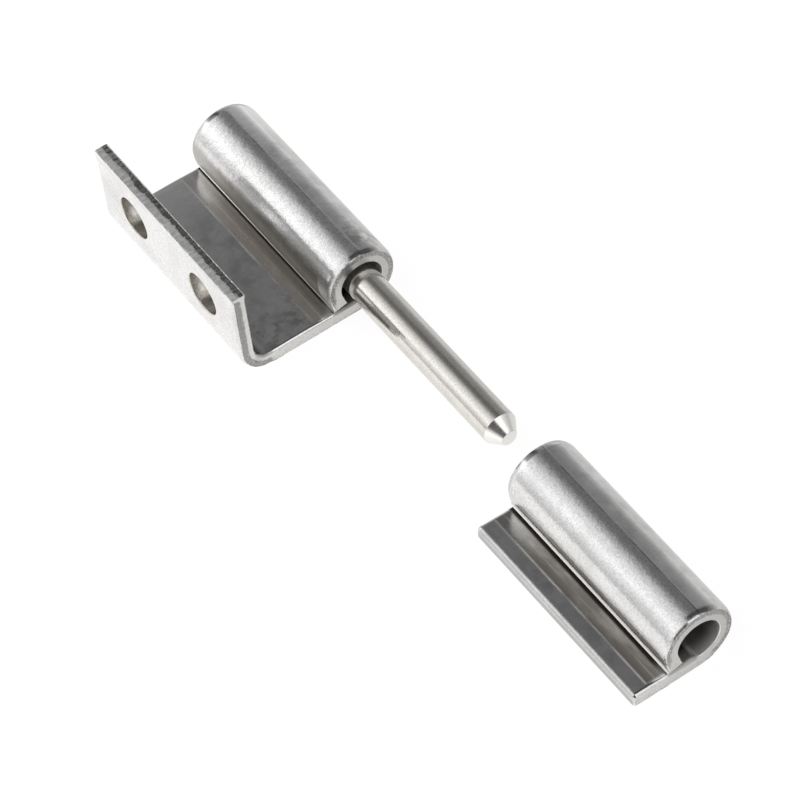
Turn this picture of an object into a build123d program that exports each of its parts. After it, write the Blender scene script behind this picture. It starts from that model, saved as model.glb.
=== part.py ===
from build123d import *
import math
import os

# Concealed lift-off hinge, millimetres: a U-shaped bracket leaf, a pin and a small leaf that is
# welded to the door. X runs along the pin from the bracket to the door leaf, Z is up, and both
# leaves lie flat as they do when the hinge is pulled apart on a table.

# Sheet metal and the rolled knuckle, the same on both leaves
sheet = 2.5
knuckle_r = 6.35
bore_r = knuckle_r - sheet
roll_end_angle = 196.0
roll_gap = 0.25
lip_angle = 22.0

# Sheared ends: the outer side of the sheet falls away over a short run, the inner side is only broken
end_run = 1.0
end_fall = 0.3
inner_break = 0.2

# Bracket leaf
bracket_length = 40.0
flange_reach = 23.15
flange_height = 19.0
bend_r = 2.5
hole_r = 3.75
hole_spacing = 20.0
hole_height = 11.5
hole_break = 0.2
bracket_lip = 0.35

# Pin: a thin shank that carries the door, on a thicker root that sits inside the bracket knuckle
shank_r = 3.0
shank_out = 40.0
tip_r = 1.4
tip_length = 2.5
tip_edge_r = 0.15
root_r = 3.78
root_start = 6.0
root_end = 39.0
root_chamfer = 0.5

# Door leaf and how far it is pulled off
door_length = 40.0
door_reach = 12.4
door_edge_r = 0.8
door_lip = 0.9
pulled_apart = 48.0

# The middle of the whole thing, seen from above, is the origin
middle_x = (pulled_apart + door_length - bracket_length) / 2
middle_y = (knuckle_r - flange_reach) / 2
mouth_x = -middle_x
axis_y = -middle_y
axis_z = knuckle_r


def on_circle(radius, degrees):
    """A point at an angle round the pin axis, as (y, z)."""
    a = math.radians(degrees)
    return (axis_y + radius * math.cos(a), axis_z + radius * math.sin(a))


def roll_run():
    """Length of the straight run between the rolled arc and the cut end of the sheet."""
    end_z = axis_z + knuckle_r * math.sin(math.radians(roll_end_angle))
    fall = -math.cos(math.radians(roll_end_angle))
    return (end_z - sheet - roll_gap) / fall


def along_roll(point, run):
    """The point moved on along the straight run at the end of the roll."""
    a = math.radians(roll_end_angle + 90)
    return (point[0] + run * math.cos(a), point[1] + run * math.sin(a))


def lip_end(start):
    """Corner of the cut end, from where the lip starts to stand off the straight run."""
    a = math.radians(roll_end_angle + 90 - lip_angle)
    length = (start[1] - sheet - roll_gap) / -math.sin(a)
    return (start[0] + length * math.cos(a), start[1] + length * math.sin(a))


def knuckle_edges(lip):
    """Outline of the knuckle from the plate's underside, round the roll and back to its top.

    The lip is the last bit of the sheet, which springs out again after rolling.
    """
    outer_end = on_circle(knuckle_r, roll_end_angle)
    inner_end = on_circle(bore_r, roll_end_angle)
    lip_start = along_roll(outer_end, roll_run() - lip)
    outer_tip = lip_end(lip_start)
    inner_tip = along_roll(inner_end, roll_run())
    middle_angle = (roll_end_angle - 90) / 2
    return [
        ThreePointArc((axis_y, 0), on_circle(knuckle_r, middle_angle), outer_end),
        Line(outer_end, lip_start),
        Line(lip_start, outer_tip),
        Line(outer_tip, inner_tip),
        Line(inner_tip, inner_end),
        ThreePointArc(inner_end, on_circle(bore_r, middle_angle), (axis_y, sheet)),
    ]


def bracket_outline():
    """Section of the bracket leaf: flange, bend, base and knuckle."""
    outer = bend_r + sheet
    face_y = axis_y - flange_reach
    centre = (face_y + outer, outer)
    diagonal = math.sqrt(0.5)
    edges = [
        Line((face_y, flange_height), (face_y, outer)),
        ThreePointArc(
            (face_y, outer),
            (centre[0] - outer * diagonal, centre[1] - outer * diagonal),
            (centre[0], 0),
        ),
        Line((centre[0], 0), (axis_y, 0)),
    ]
    edges += knuckle_edges(bracket_lip)
    edges += [
        Line((axis_y, sheet), (centre[0], sheet)),
        ThreePointArc(
            (centre[0], sheet),
            (centre[0] - bend_r * diagonal, centre[1] - bend_r * diagonal),
            (face_y + sheet, outer),
        ),
        Line((face_y + sheet, outer), (face_y + sheet, flange_height)),
        Line((face_y + sheet, flange_height), (face_y, flange_height)),
    ]
    return edges


def door_outline():
    """Section of the door leaf: a narrow flat and the knuckle."""
    edge_y = axis_y - door_reach
    edges = [
        Line((edge_y, 0), (axis_y, 0)),
    ]
    edges += knuckle_edges(door_lip)
    edges += [
        Line((axis_y, sheet), (edge_y, sheet)),
        Line((edge_y, sheet), (edge_y, 0)),
    ]
    return edges


def extruded(edges, start_x, length):
    """The section pushed along the pin axis."""
    plane = Plane.YZ.offset(start_x)
    face = make_face([plane * edge for edge in edges])
    return extrude(face, amount=length, dir=(1, 0, 0))


def end_face(shape, side):
    """The flat face at the start (0) or the end (-1) of a leaf."""
    return shape.faces().sort_by(Axis.X)[side]


def middle_of(edge):
    """Point half way along an edge."""
    return edge.position_at(0.5)


def distance_to_axis(point):
    """Distance of a point from the pin axis."""
    return math.hypot(point.Y - axis_y, point.Z - axis_z)


def is_outside(edge):
    """True for an end edge on the side of the sheet that is outside the knuckle, the base and the flange."""
    point = middle_of(edge)
    face_y = axis_y - flange_reach
    outer = bend_r + sheet
    on_knuckle = abs(distance_to_axis(point) - knuckle_r) < 0.05
    on_base = point.Z < 1e-3
    on_flange = abs(point.Y - face_y) < 1e-3
    on_bend = abs(math.hypot(point.Y - face_y - outer, point.Z - outer) - outer) < 1e-3
    return on_knuckle or on_base or on_flange or on_bend


def is_inside(edge):
    """True for an end edge on the bore, on top of the base or on the inner side of the flange."""
    point = middle_of(edge)
    in_bore = abs(distance_to_axis(point) - bore_r) < 0.05
    on_plate = abs(point.Z - sheet) < 1e-3 and point.Y < axis_y
    on_flange = abs(point.Y - axis_y + flange_reach - sheet) < 1e-3
    return in_bore or on_plate or on_flange


def shear_ends(leaf, base_start):
    """Both ends of a leaf as the shears leave them, with the underside of its base flat to the end."""
    low = end_face(leaf, 0).center().X
    high = end_face(leaf, -1).center().X
    for side in (0, -1):
        face = end_face(leaf, side)
        outside = [edge for edge in face.edges() if is_outside(edge)]
        leaf = chamfer(outside, end_fall, end_run, reference=face)
    for side in (0, -1):
        inside = [edge for edge in end_face(leaf, side).edges() if is_inside(edge)]
        leaf = chamfer(inside, inner_break)
    for x in (low, high - end_run):
        foot = Box(end_run, axis_y - base_start, sheet / 2, align=(Align.MIN, Align.MIN, Align.MIN))
        leaf += Pos(x, base_start, 0) * foot
    return leaf


def bracket_leaf():
    """U-shaped leaf with the rolled knuckle and two screw holes in the flange."""
    start = mouth_x - bracket_length
    leaf = extruded(bracket_outline(), start, bracket_length)
    face_y = axis_y - flange_reach
    for side in (-1, 1):
        x = mouth_x - bracket_length / 2 + side * hole_spacing / 2
        drill = Cylinder(hole_r, 4 * sheet, rotation=(90, 0, 0))
        leaf -= Pos(x, face_y + sheet / 2, hole_height) * drill
    rims = []
    for edge in leaf.edges():
        on_face = abs(middle_of(edge).Y - face_y) < 1e-4
        if edge.geom_type == GeomType.CIRCLE and on_face and abs(edge.radius - hole_r) < 1e-4:
            rims.append(edge)
    leaf = chamfer(rims, hole_break)
    return shear_ends(leaf, face_y + bend_r + sheet)


def door_leaf():
    """Narrow leaf with the same knuckle and a free edge that is rounded on top."""
    start = mouth_x + pulled_apart
    edge_y = axis_y - door_reach
    leaf = shear_ends(extruded(door_outline(), start, door_length), edge_y)
    long_edges = []
    for edge in leaf.edges():
        point = middle_of(edge)
        is_long = edge.bounding_box().size.X > door_length / 2
        if is_long and abs(point.Y - edge_y) < 1e-4 and abs(point.Z - sheet) < 1e-4:
            long_edges.append(edge)
    return fillet(long_edges, door_edge_r)


def hinge_pin():
    """Shank with a coned tip on a thicker root, turned about the pin axis."""
    outline = [
        (-root_end, 0),
        (-root_end, root_r - root_chamfer),
        (-root_end + root_chamfer, root_r),
        (-root_start - root_chamfer, root_r),
        (-root_start, root_r - root_chamfer),
        (-root_start, shank_r),
        (shank_out - tip_length, shank_r),
        (shank_out, tip_r),
        (shank_out, 0),
    ]
    points = [(mouth_x + x, axis_y + r, axis_z) for x, r in outline]
    face = make_face(Polyline(*points, close=True))
    pin = revolve(face, Axis((0, axis_y, axis_z), (1, 0, 0)), 360)
    rims = []
    for edge in pin.edges().filter_by(GeomType.CIRCLE):
        at_cone = abs(middle_of(edge).X - mouth_x - shank_out + tip_length) < 1e-4
        if at_cone:
            rims.append(edge)
    return fillet(rims, tip_edge_r)


os.makedirs("parts", exist_ok=True)
for name, shape in (
    ("bracket_leaf", bracket_leaf()),
    ("hinge_pin", hinge_pin()),
    ("door_leaf", door_leaf()),
):
    solid = shape.solids()[0]
    solid.label = name
    export_step(solid, "parts/" + name + ".step")
    box = solid.bounding_box()
    print(name, round(solid.volume, 1), box.min, box.max)
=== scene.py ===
# %% [markdown]
# # A lift-off hinge, pulled apart on a white table
# The hinge is three pieces of stainless steel: a bracket leaf with a screw flange, the pin in its
# knuckle, and the narrow leaf that is welded to a door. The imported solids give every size, so this
# lesson only builds smooth meshes over them and finds the finish of tumbled steel.

# %% Load the solids
import math
import random

import bmesh
import bpy
from mathutils import Matrix, Vector


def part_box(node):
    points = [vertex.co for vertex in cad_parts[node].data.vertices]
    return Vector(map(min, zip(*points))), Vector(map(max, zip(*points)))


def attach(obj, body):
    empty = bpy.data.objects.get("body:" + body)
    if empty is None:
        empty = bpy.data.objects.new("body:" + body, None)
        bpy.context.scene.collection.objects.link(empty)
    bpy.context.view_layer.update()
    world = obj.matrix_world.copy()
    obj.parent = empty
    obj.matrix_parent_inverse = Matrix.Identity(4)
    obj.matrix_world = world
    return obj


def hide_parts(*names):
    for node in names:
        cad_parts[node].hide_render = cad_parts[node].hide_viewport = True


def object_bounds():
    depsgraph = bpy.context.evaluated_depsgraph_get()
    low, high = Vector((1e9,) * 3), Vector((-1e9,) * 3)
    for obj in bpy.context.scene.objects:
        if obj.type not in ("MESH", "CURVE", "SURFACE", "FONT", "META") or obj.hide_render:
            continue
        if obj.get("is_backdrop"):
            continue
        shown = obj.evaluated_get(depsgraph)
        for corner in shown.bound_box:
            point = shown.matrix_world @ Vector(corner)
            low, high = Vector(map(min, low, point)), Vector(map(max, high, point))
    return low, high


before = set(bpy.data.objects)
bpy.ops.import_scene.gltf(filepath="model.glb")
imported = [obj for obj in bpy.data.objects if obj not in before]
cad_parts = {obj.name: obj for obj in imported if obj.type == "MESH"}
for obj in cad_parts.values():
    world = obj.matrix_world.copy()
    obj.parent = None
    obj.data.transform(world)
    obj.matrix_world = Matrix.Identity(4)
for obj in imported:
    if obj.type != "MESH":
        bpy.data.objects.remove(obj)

MM = 0.001
scene = bpy.context.scene
cad_box = [list(corner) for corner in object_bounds()]
low, high = [[round(v / MM, 2) for v in corner] for corner in cad_box]
print("solids from", low, "to", high)

# %% [markdown]
# ## Sizes
# Everything below is drawn in millimetres in the hinge's own frame: X along the pin, Y from the
# screw flange to the knuckle, Z up. Reading the boxes of the three solids keeps the meshes in step
# with them. Only what a box can't tell is written as a number: the sheet, the bore and the bend.

# %% Read the sizes from the solids
bracket_low, bracket_high = [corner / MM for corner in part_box("bracket_leaf")]
door_low, door_high = [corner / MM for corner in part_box("door_leaf")]
pin_low, pin_high = [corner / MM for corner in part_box("hinge_pin")]

sheet = 2.5
knuckle_r = door_high.z / 2
bore_r = knuckle_r - sheet
axis = Vector((door_high.y - knuckle_r, knuckle_r))
bend_r = 2.5
hole_r = 3.75
hole_spacing = 20.0
hole_height = 11.5
bracket_middle = (bracket_low.x + bracket_high.x) / 2
print("knuckle radius", round(knuckle_r, 2), "pin axis at y, z", [round(v, 2) for v in axis])

# %% [markdown]
# ## Drawing a section
# Both leaves are one section pushed along the pin. A section could be a curve object with a bevel,
# but the ends of the real sheet are rounded too, so it is drawn here as a plain loop of points that
# a later cell can shrink towards each end. Arcs, straight runs and rounded corners are enough.


# %% Arcs, runs and rounded corners
def arc(centre, radius, start, end, step=4.0):
    """Points on an arc between two angles in degrees."""
    count = max(3, round(abs(end - start) / step) + 1)
    angles = [math.radians(start + (end - start) * i / (count - 1)) for i in range(count)]
    return [centre + radius * Vector((math.cos(a), math.sin(a))) for a in angles]


def run(start, end, step=0.8):
    """Points along a straight run, without its two ends."""
    count = max(1, round((end - start).length / step))
    return [start.lerp(end, i / count) for i in range(1, count)]


def rounded_corner(before, corner, after, radius, step=10.0):
    """Points of an arc that takes the place of a corner."""
    back = (before - corner).normalized()
    on = (after - corner).normalized()
    half = back.angle(on) / 2
    centre = corner + (back + on).normalized() * (radius / math.sin(half))
    first = corner + back * (radius / math.tan(half)) - centre
    last = corner + on * (radius / math.tan(half)) - centre
    start = math.degrees(math.atan2(first.y, first.x))
    turn = math.degrees(math.atan2(first.x * last.y - first.y * last.x, first.dot(last)))
    return arc(centre, radius, start, start + turn, step)


print("a test corner has", len(rounded_corner(Vector((1, 0)), Vector((0, 0)), Vector((0, 1)), 0.3)), "points")

# %% [markdown]
# ## The rolled knuckle
# The sheet is rolled round a mandrel until its cut edge almost touches the plate again. The roll
# stops a little past three quarters of a turn and ends in a short straight run. Its last bit springs
# out again, which leaves a light strip along the gap, wider on the door leaf than on the bracket.
# Arcs and runs give that outline exactly, where a bent strip would need a modifier and a guess.

# %% The knuckle's outline
roll_end = 196.0
roll_gap = 0.25
lip_angle = 54.0
tip_corner_r = 0.1
crease = 0.05
roll_mark = 84.0
under_z = 0.4


def pointing(degrees):
    """Unit vector at an angle."""
    return Vector((math.cos(math.radians(degrees)), math.sin(math.radians(degrees))))


def side_of_roll(p):
    """Underside, smooth side or grainy side of the roll, which meet at its lowest line and at its top."""
    if p.y < under_z:
        return "under"
    degrees = math.degrees(math.atan2(p.y - axis.y, p.x - axis.x))
    return "smooth" if -90 < degrees < roll_mark else "outside"


def knuckle_outline(lip):
    """Outline from the plate's underside round the roll to its top, with the side each point is on."""
    ahead = pointing(roll_end + 90)
    aside = pointing(roll_end + 90 - lip_angle)
    outer_end = axis + knuckle_r * pointing(roll_end)
    inner_end = axis + bore_r * pointing(roll_end)
    length = (outer_end.y - sheet - roll_gap) / -ahead.y
    lip_start = outer_end + ahead * (length - lip)
    outer_tip = lip_start + aside * ((lip_start.y - sheet - roll_gap) / -aside.y)
    inner_tip = inner_end + ahead * length
    roll = arc(axis, knuckle_r, -90, roll_end)
    roll += run(outer_end, lip_start - ahead * crease, 0.4) + [lip_start - ahead * crease]
    tip = [lip_start, lip_start + aside * crease]
    tip += rounded_corner(lip_start, outer_tip, inner_tip, tip_corner_r)
    tip += run(tip[-1], inner_tip, 0.3)
    tip += rounded_corner(outer_tip, inner_tip, inner_end, tip_corner_r)
    bore = arc(axis, bore_r, roll_end, -90)
    outline = [(p, side_of_roll(p)) for p in roll]
    outline += [(p, "tip") for p in tip]
    outline += [(p, "bore") for p in run(tip[-1], bore[0], 0.4) + bore]
    return outline


print("knuckle outline:", len(knuckle_outline(lip=0.4)), "points")

# %% [markdown]
# ## The two sections
# The bracket's section is a U: flange, bend, base, knuckle. The door leaf has only a narrow flat in
# front of its knuckle. Rolling draws the plate down a little under the cut edge, which widens the gap
# and spreads the knuckle's reflection over the plate. The flange's top was sheared last and never
# tumbled smooth, so its corners are nearly sharp and its points lie close together, ready to be torn.

# %% The bracket's and the door leaf's sections
dip_depth = 0.16
dip_middle = 2.6
dip_reach = 5.6
bracket_lip = 0.34
door_lip = 0.5
flange_rim_r = 0.16
flange_burr_r = 0.08
door_sole_r = 0.45
door_brow_r = 0.8
under = Vector((axis.x, 0))
over = Vector((axis.x, sheet))


def dipped(points):
    """The plate's top, drawn down a little under the cut edge of the roll."""
    lowered = []
    for p in points:
        share = min(1.0, abs(p.x - dip_middle) / dip_reach)
        lowered.append(Vector((p.x, p.y - dip_depth * math.cos(math.pi / 2 * share) ** 2)))
    return lowered


def bracket_section():
    """Loop of the bracket leaf, anticlockwise seen from the pin's tip."""
    top = bracket_high.z
    outer_y = bracket_low.y
    inner_y = outer_y + sheet
    flange_outer = Vector((outer_y, top))
    flange_inner = Vector((inner_y, top))
    heel = Vector((outer_y, 0))
    hollow = Vector((inner_y, sheet))
    rim = rounded_corner(flange_inner, flange_outer, heel, flange_rim_r, 15)
    bend = rounded_corner(flange_outer, heel, under, bend_r + sheet)
    fold = rounded_corner(over, hollow, flange_inner, bend_r, 6)
    burr = rounded_corner(hollow, flange_inner, flange_outer, flange_burr_r, 22)
    loop = [(p, "top") for p in rim]
    loop += [(p, "flange") for p in run(rim[-1], bend[0]) + bend]
    loop += [(p, "under") for p in run(bend[-1], under)]
    loop += knuckle_outline(bracket_lip)
    loop += [(p, "inside") for p in dipped(run(over, fold[0], 0.4)) + fold + run(fold[-1], burr[0])]
    loop += [(p, "top") for p in burr + run(burr[-1], rim[0], 0.13)]
    return loop


def door_section():
    """Loop of the door leaf."""
    low = Vector((door_low.y, 0))
    high = Vector((door_low.y, sheet))
    sole = rounded_corner(high, low, under, door_sole_r)
    brow = rounded_corner(over, high, low, door_brow_r)
    loop = [(p, "edge") for p in sole]
    loop += [(p, "under") for p in run(sole[-1], under)]
    loop += knuckle_outline(door_lip)
    loop += [(p, "plate") for p in dipped(run(over, brow[0], 0.4))]
    loop += [(p, "brow") for p in brow]
    loop += [(p, "edge") for p in run(brow[-1], sole[0], 0.3)]
    return loop


print("points in the sections:", len(bracket_section()), "and", len(door_section()))

# %% [markdown]
# ## Sheared ends
# A Curve to Mesh node would push the section along the pin but leave plain ends. Shears leave more:
# the sheet falls away over the last millimetre, the end face keeps a crisp bright edge, and behind it
# lies a darker strip where the metal broke. So the rings near each end are drawn in along the
# outline's normals on an arc, and the end face gets rings of its own, with the break ragged and sunk.
# Attributes keep what the material has to know: grain, cut faces and broken strips.

# %% The shape of an end on each side of the sheet
SIDES = ("flange", "outside", "smooth", "under", "inside", "bore", "plate", "brow", "edge", "tip", "top")
END_RUN = dict(zip(SIDES, (1.0, 1.3, 1.3, 0.45, 0.6, 0.2, 0.8, 0.8, 0.6, 0.1, 0.06)))
END_FALL = dict(zip(SIDES, (0.3, 0.35, 0.35, 0.1, 0.42, 0.14, 0.5, 0.4, 0.25, 0.05, 0.04)))
BREAK_WIDTH = dict(zip(SIDES, (1.25, 1.0, 1.0, 0.8, 0.2, 0.2, 0.2, 0.2, 0.15, 0.04, 0.03)))
BREAK_MARK = dict(zip(SIDES, (1.0, 0.7, 0.7, 0.2, 0, 0, 0, 0, 0, 0, 0)))
GRAIN = dict(zip(SIDES, (1.0, 1.0, 0.3, 1.0, 0.2, 0.2, 0.2, 1.1, 1.2, 0.5, 0.4)))
END_STEPS = 8
BREAK_DEPTH = 0.06
BREAK_SHARE = (0.3, 1.0)
BREAK_SHIFT = 0.1
RAGGED_FROM = 0.5
BREAK_RINGS = ((0.05, 1.0), (0.3, 1.0), (0.6, 1.0), (0.85, 1.0), (1.0, 0.0))


def outward(points):
    """Unit normals of a closed anticlockwise loop."""
    normals = []
    for before, point, after in zip(points[-1:] + points[:-1], points, points[1:] + points[:1]):
        ahead = (point - before).normalized() + (after - point).normalized()
        normals.append(Vector((ahead.y, -ahead.x)).normalized())
    return normals


def eased(section, sizes, slope=0.4, steep=None):
    """A size for each point by its side, rising from a low place by a slope, or five times that."""
    values = [sizes[side] for _, side in section]
    for _ in range(2):
        for order in (range(len(section)), range(len(section) - 1, -1, -1)):
            last = order[-1]
            for i in order:
                reach = (section[i][0] - section[last][0]).length
                rise = 5 * slope if section[i][1] == steep else slope
                values[i] = min(values[i], values[last] + rise * reach)
                last = i
    return values


# %% Rings along a leaf
def leaf_rings(name, section, start, end, spacing):
    """Rings of points along X, each with its break marks, its cut mark and its grain."""
    points = [p for p, _ in section]
    normals = outward(points)
    runs = eased(section, END_RUN)
    falls = eased(section, END_FALL)
    widths = eased(section, BREAK_WIDTH, steep="flange")
    strengths = eased(section, BREAK_MARK, steep="flange")
    grains = eased(section, GRAIN, 2.0)
    chance = random.Random(name)
    none = [0.0] * len(points)
    rings = []

    def falling_ring(share, end_x, inwards):
        ring = []
        for p, n, length, fall in zip(points, normals, runs, falls):
            turn = 2 * math.atan2(fall, length)
            radius = length / math.sin(turn)
            drawn_in = p - n * radius * (1 - math.cos(turn * share))
            x = end_x + inwards * (length - radius * math.sin(turn * share))
            ring.append((x, drawn_in.x, drawn_in.y))
        rings.append((ring, none, 0.0, [grain + (1 - grain) * share for grain in grains]))

    def break_ring(share, broken, end_x, inwards):
        ring = []
        for p, n, fall, width in zip(points, normals, falls, widths):
            ragged = width > RAGGED_FROM and broken
            depth = BREAK_DEPTH * chance.uniform(*BREAK_SHARE) if ragged else 0.0
            shift = chance.uniform(-BREAK_SHIFT, BREAK_SHIFT) if ragged else 0.0
            drawn_in = p - n * (fall + width * (share + shift))
            ring.append((end_x + inwards * depth, drawn_in.x, drawn_in.y))
        rings.append((ring, [broken * strength for strength in strengths], 1.0, grains))

    for share, broken in reversed(BREAK_RINGS):
        break_ring(share, broken, start, 1)
    for step in range(END_STEPS, -1, -1):
        falling_ring(step / END_STEPS, start, 1)
    clear = max(runs) + spacing
    count = round((end - start - 2 * clear) / spacing)
    for i in range(count + 1):
        x = start + clear + (end - start - 2 * clear) * i / count
        rings.append(([(x, p.x, p.y) for p in points], none, 0.0, grains))
    for step in range(END_STEPS + 1):
        falling_ring(step / END_STEPS, end, -1)
    for share, broken in BREAK_RINGS:
        break_ring(share, broken, end, -1)
    return rings


# %% Push a section along the pin
def put_in_scene(name, data):
    """An object for a mesh or a camera, linked to the scene."""
    thing = bpy.data.objects.new(name, data)
    scene.collection.objects.link(thing)
    return thing


def push_section(name, section, start, end, spacing):
    """A closed object: the section pushed along X, with sheared ends."""
    build = bmesh.new()
    for label in ("grain", "fracture", "cut"):
        build.verts.layers.float.new(label)
    layers = build.verts.layers.float.values()
    made = []
    for ring, marks, cut, grains in leaf_rings(name, section, start, end, spacing):
        row = []
        for place, mark, grain in zip(ring, marks, grains):
            vertex = build.verts.new(Vector(place) * MM)
            for layer, value in zip(layers, (grain, mark, cut)):
                vertex[layer] = value
            row.append(vertex)
        made.append(row)
    for low, high in zip(made, made[1:]):
        for i in range(len(section)):
            build.faces.new((low[i - 1], low[i], high[i], high[i - 1]))
    build.faces.new(made[0])
    build.faces.new(made[-1])
    bmesh.ops.recalc_face_normals(build, faces=build.faces)
    mesh = bpy.data.meshes.new(name)
    build.to_mesh(mesh)
    build.free()
    mesh.shade_smooth()
    print(name, "has", len(mesh.polygons), "faces in", len(made), "rings")
    return put_in_scene(name, mesh)


# %% Make the two leaves
bracket = push_section("rolled_bracket", bracket_section(), bracket_low.x, bracket_high.x, 0.2)
door = push_section("rolled_door_leaf", door_section(), door_low.x, door_high.x, 0.8)

# %% [markdown]
# ## A lathe in Geometry Nodes
# The pin is turned, and so is the shape that a punch leaves in the flange. A Screw modifier could
# turn a profile, but a small tree shows the rule better: take a grid with one row for each profile
# point, look that point up by its row, and send each column round by its own share of a turn. The
# same tree then serves the pin and the punches.


# %% Nodes and what goes into them
def is_socket(value):
    """True for a node's socket, false for a plain number or colour."""
    return isinstance(value, bpy.types.NodeSocket)


def fill(socket, value):
    """Links a socket to an input, or sets a plain value on it."""
    if is_socket(value):
        socket.id_data.links.new(value, socket)
    elif value is not None:
        socket.default_value = value


def add_node(tree, kind, inputs=None, **settings):
    """A node with its settings, and with its inputs filled by name or place."""
    node = tree.nodes.new(kind)
    for key, value in settings.items():
        setattr(node, key, value)
    for key, value in (inputs or {}).items():
        fill(node.inputs[key], value)
    return node


def parts_of(vector):
    """The X, Y and Z of a vector socket."""
    return add_node(vector.id_data, "ShaderNodeSeparateXYZ", {0: vector}).outputs


# %% Sums with sockets and numbers
def math_node(operation, *values):
    """One Math node, in the tree of the first socket among its values."""
    tree = next(value.id_data for value in values if is_socket(value))
    return add_node(tree, "ShaderNodeMath", dict(enumerate(values)), operation=operation).outputs[0]


def times(first, *others):
    """The product of two or more values."""
    for other in others:
        first = math_node("MULTIPLY", first, other)
    return first


def plus(first, second):
    """The sum of two values."""
    return math_node("ADD", first, second)


def minus(first, second):
    """The difference of two values."""
    return math_node("SUBTRACT", first, second)


def noise_value(vector, scale, detail=2.0, rough=0.5, seed=0.0):
    """A noise texture's value. The scale is in features for each unit of the vector."""
    values = {"Vector": vector, "Scale": scale, "Detail": detail, "Roughness": rough, "W": seed}
    return add_node(vector.id_data, "ShaderNodeTexNoise", values, noise_dimensions="4D").outputs[0]


# %% Start a tree, end it and make its result plain
def new_tree(name, takes, sizes, gives):
    """A tree that takes a shape, some sizes and a material, with the sockets of its input node."""
    tree = bpy.data.node_groups.new(name, "GeometryNodeTree")
    tree.interface.new_socket(takes, in_out="INPUT", socket_type="NodeSocketGeometry")
    for label, value in sizes.items():
        kind = "NodeSocketInt" if isinstance(value, int) else "NodeSocketFloat"
        tree.interface.new_socket(label, in_out="INPUT", socket_type=kind).default_value = value
    tree.interface.new_socket("Material", in_out="INPUT", socket_type="NodeSocketMaterial")
    tree.interface.new_socket(gives, in_out="OUTPUT", socket_type="NodeSocketGeometry")
    return tree, add_node(tree, "NodeGroupInput").outputs


def end_tree(tree, given, *chain):
    """Joins the last nodes in a row and ends with real geometry and its material."""
    real = add_node(tree, "GeometryNodeRealizeInstances")
    painted = add_node(tree, "GeometryNodeSetMaterial", {"Material": given["Material"]})
    chain = [*chain, real, painted, add_node(tree, "NodeGroupOutput")]
    for first, second in zip(chain, chain[1:]):
        fill(second.inputs[0], first.outputs[0])
    print(tree.name, "has", len(tree.nodes), "nodes")


def set_input(modifier, name, value):
    """Sets a tree's named input on a modifier."""
    for item in modifier.node_group.interface.items_tree:
        if item.item_type == "SOCKET" and item.in_out == "INPUT" and item.name == name:
            modifier[item.identifier] = value


def plain_mesh(piece):
    """Turns an object and its modifiers into a plain mesh."""
    bpy.context.view_layer.update()
    seen = piece.evaluated_get(bpy.context.evaluated_depsgraph_get())
    mesh = bpy.data.meshes.new_from_object(seen)
    mesh.name = piece.name
    piece.modifiers.clear()
    piece.data = mesh
    return mesh


# %% The lathe tree
lathe, given = new_tree("turn_on_lathe", "Profile", {"Facets": 96}, "Turned")
size = add_node(lathe, "GeometryNodeAttributeDomainSize", {0: given["Profile"]}, component="MESH")
point_count = size.outputs["Point Count"]
counts = {"Vertices X": point_count, "Vertices Y": plus(given["Facets"], 1)}
grid = add_node(lathe, "GeometryNodeMeshGrid", counts)
place = add_node(lathe, "GeometryNodeInputPosition").outputs[0]
grid_x, grid_y, _ = parts_of(place)
row = math_node("ROUND", times(plus(grid_x, 0.5), minus(point_count, 1)))
turn = times(plus(grid_y, 0.5), math.tau)
asked = {"Geometry": given["Profile"], "Value": place, "Index": row}
look_up = add_node(lathe, "GeometryNodeSampleIndex", asked, data_type="FLOAT_VECTOR", domain="POINT")
along, radius, _ = parts_of(look_up.outputs["Value"])
round_y, round_z = [times(radius, math_node(wave, turn)) for wave in ("COSINE", "SINE")]
spun = add_node(lathe, "ShaderNodeCombineXYZ", {0: along, 1: round_y, 2: round_z}).outputs[0]
moved = add_node(lathe, "GeometryNodeSetPosition", {0: grid.outputs["Mesh"], "Position": spun})
closed = add_node(lathe, "GeometryNodeMergeByDistance", {"Distance": 1e-7})
end_tree(lathe, given, moved, closed, add_node(lathe, "GeometryNodeSetShadeSmooth"))


# %% Turn a profile
def turned(name, profile, facets, material=None):
    """A turned object about the X axis, from (along, radius) points that start and end on the axis."""
    mesh = bpy.data.meshes.new(name)
    points = [(along * MM, radius * MM, 0) for along, radius in profile]
    mesh.from_pydata(points, [(i, i + 1) for i in range(len(points) - 1)], [])
    piece = put_in_scene(name, mesh)
    tool = piece.modifiers.new("lathe", "NODES")
    tool.node_group = lathe
    set_input(tool, "Facets", facets)
    if material:
        set_input(tool, "Material", material)
    result = plain_mesh(piece)
    build = bmesh.new()
    build.from_mesh(result)
    bmesh.ops.recalc_face_normals(build, faces=build.faces)
    build.to_mesh(result)
    build.free()
    print(name, "has", len(result.polygons), "faces")
    return piece


# %% [markdown]
# ## Punching the flange
# The screw holes were punched from outside, which rolls the rim in a little on that side and leaves
# a crisp edge on the other. A Boolean with a turned punch does the same: the punch flares where the
# rim is rounded. Both punches are used once and then thrown away.

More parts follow.
